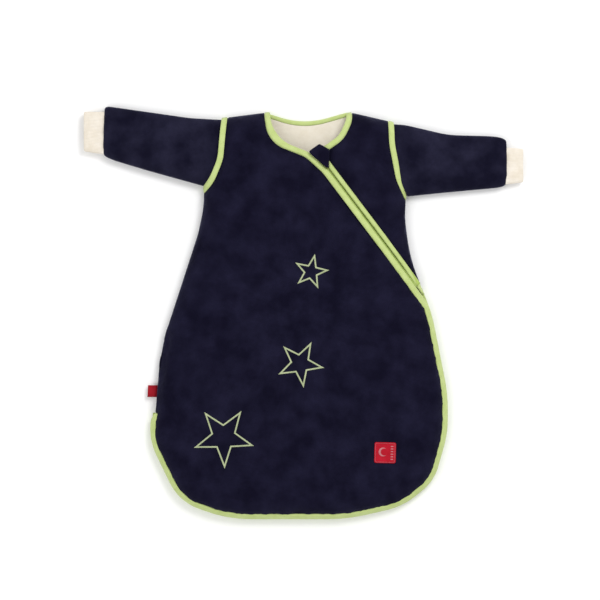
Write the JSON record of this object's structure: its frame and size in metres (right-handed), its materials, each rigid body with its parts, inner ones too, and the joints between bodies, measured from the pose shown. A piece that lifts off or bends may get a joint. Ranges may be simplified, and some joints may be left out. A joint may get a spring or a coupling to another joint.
{
  "type": "baby sleeping bag",
  "caption": "Padded baby sleeping bag with long sleeves, rib cuffs, bound edges and a zip that runs from the neck down one side and round the hem.",
  "frame": {"origin": "middle of the overall box on the surface the bag lies on, back face down", "axes": "+X to the right seen from the front, +Y from the hem to the neck, +Z out of the front"},
  "size_m": [0.65, 0.6123, 0.0401],
  "materials": {
    "velour": "short cotton velour pile, soft sheen",
    "wadding": "loose polyester wadding",
    "lining": "fine cotton jersey",
    "binding": "folded cotton bias binding, topstitched",
    "embroidery": "satin stitch",
    "rib_knit": "two by two rib knit",
    "label_cloth": "woven label",
    "tag_cloth": "folded ribbon",
    "zip_tape": "woven tape",
    "zip_coil": "moulded nylon",
    "zip_metal": "painted die casting"
  },
  "bodies": {
    "root": {"back_outer": "velour", "side_outer": "velour", "right_outer": "velour", "chin_guard": "velour", "sleeve_head_left": "velour", "sleeve_head_right": "velour", "back_wadding": "wadding", "side_wadding": "wadding", "right_wadding": "wadding", "back_lining": "lining", "side_lining": "lining", "right_lining": "lining", "sleeve_head_lining_left": "lining", "sleeve_head_lining_right": "lining", "hem_binding_back": "binding", "neck_binding_back": "binding", "neck_binding_right": "binding", "zip_binding_right": "binding", "armhole_binding_left": "binding", "armhole_binding_right": "binding", "side_tag": "tag_cloth", "zip_tape_right": "zip_tape", "zip_tape_hem_back": "zip_tape", "zip_coil_right": "zip_coil", "zip_coil_hem_back": "zip_coil"},
    "front_flap": {"front_outer": "velour", "front_wadding": "wadding", "front_lining": "lining", "front_binding": "binding", "hem_binding_front": "binding", "zip_tape_front": "zip_tape", "zip_coil_front": "zip_coil", "zip_tape_hem_front": "zip_tape", "zip_coil_hem_front": "zip_coil", "star_small": "embroidery", "star_medium": "embroidery", "star_large": "embroidery", "woven_label": "label_cloth"},
    "sleeve_left": {"sleeve_outer_left": "velour", "sleeve_lining_left": "lining", "cuff_left": "rib_knit"},
    "sleeve_right": {"sleeve_outer_right": "velour", "sleeve_lining_right": "lining", "cuff_right": "rib_knit"},
    "zip_slider": {"zip_slider": "zip_metal", "zip_pull": "zip_metal"}
  },
  "joints": [
    {"name": "flap_fold", "type": "hinge", "parent": "root", "child": "front_flap", "pos_m": [-0.047, 0.286, 0.036], "axis": [-0.3942, -0.919, 0], "range_deg": [0, 170]},
    {"name": "sleeve_left_swing", "type": "hinge", "parent": "root", "child": "sleeve_left", "pos_m": [-0.124, 0.238, 0], "axis": [0, 0, 1], "range_deg": [-20, 20]},
    {"name": "sleeve_right_swing", "type": "hinge", "parent": "root", "child": "sleeve_right", "pos_m": [0.134, 0.23, 0], "axis": [0, 0, 1], "range_deg": [-20, 20]},
    {"name": "zip_run", "type": "slide", "parent": "root", "child": "zip_slider", "axis": [0.6031, -0.7977, 0], "range_m": [0, 0.125]}
  ]
}
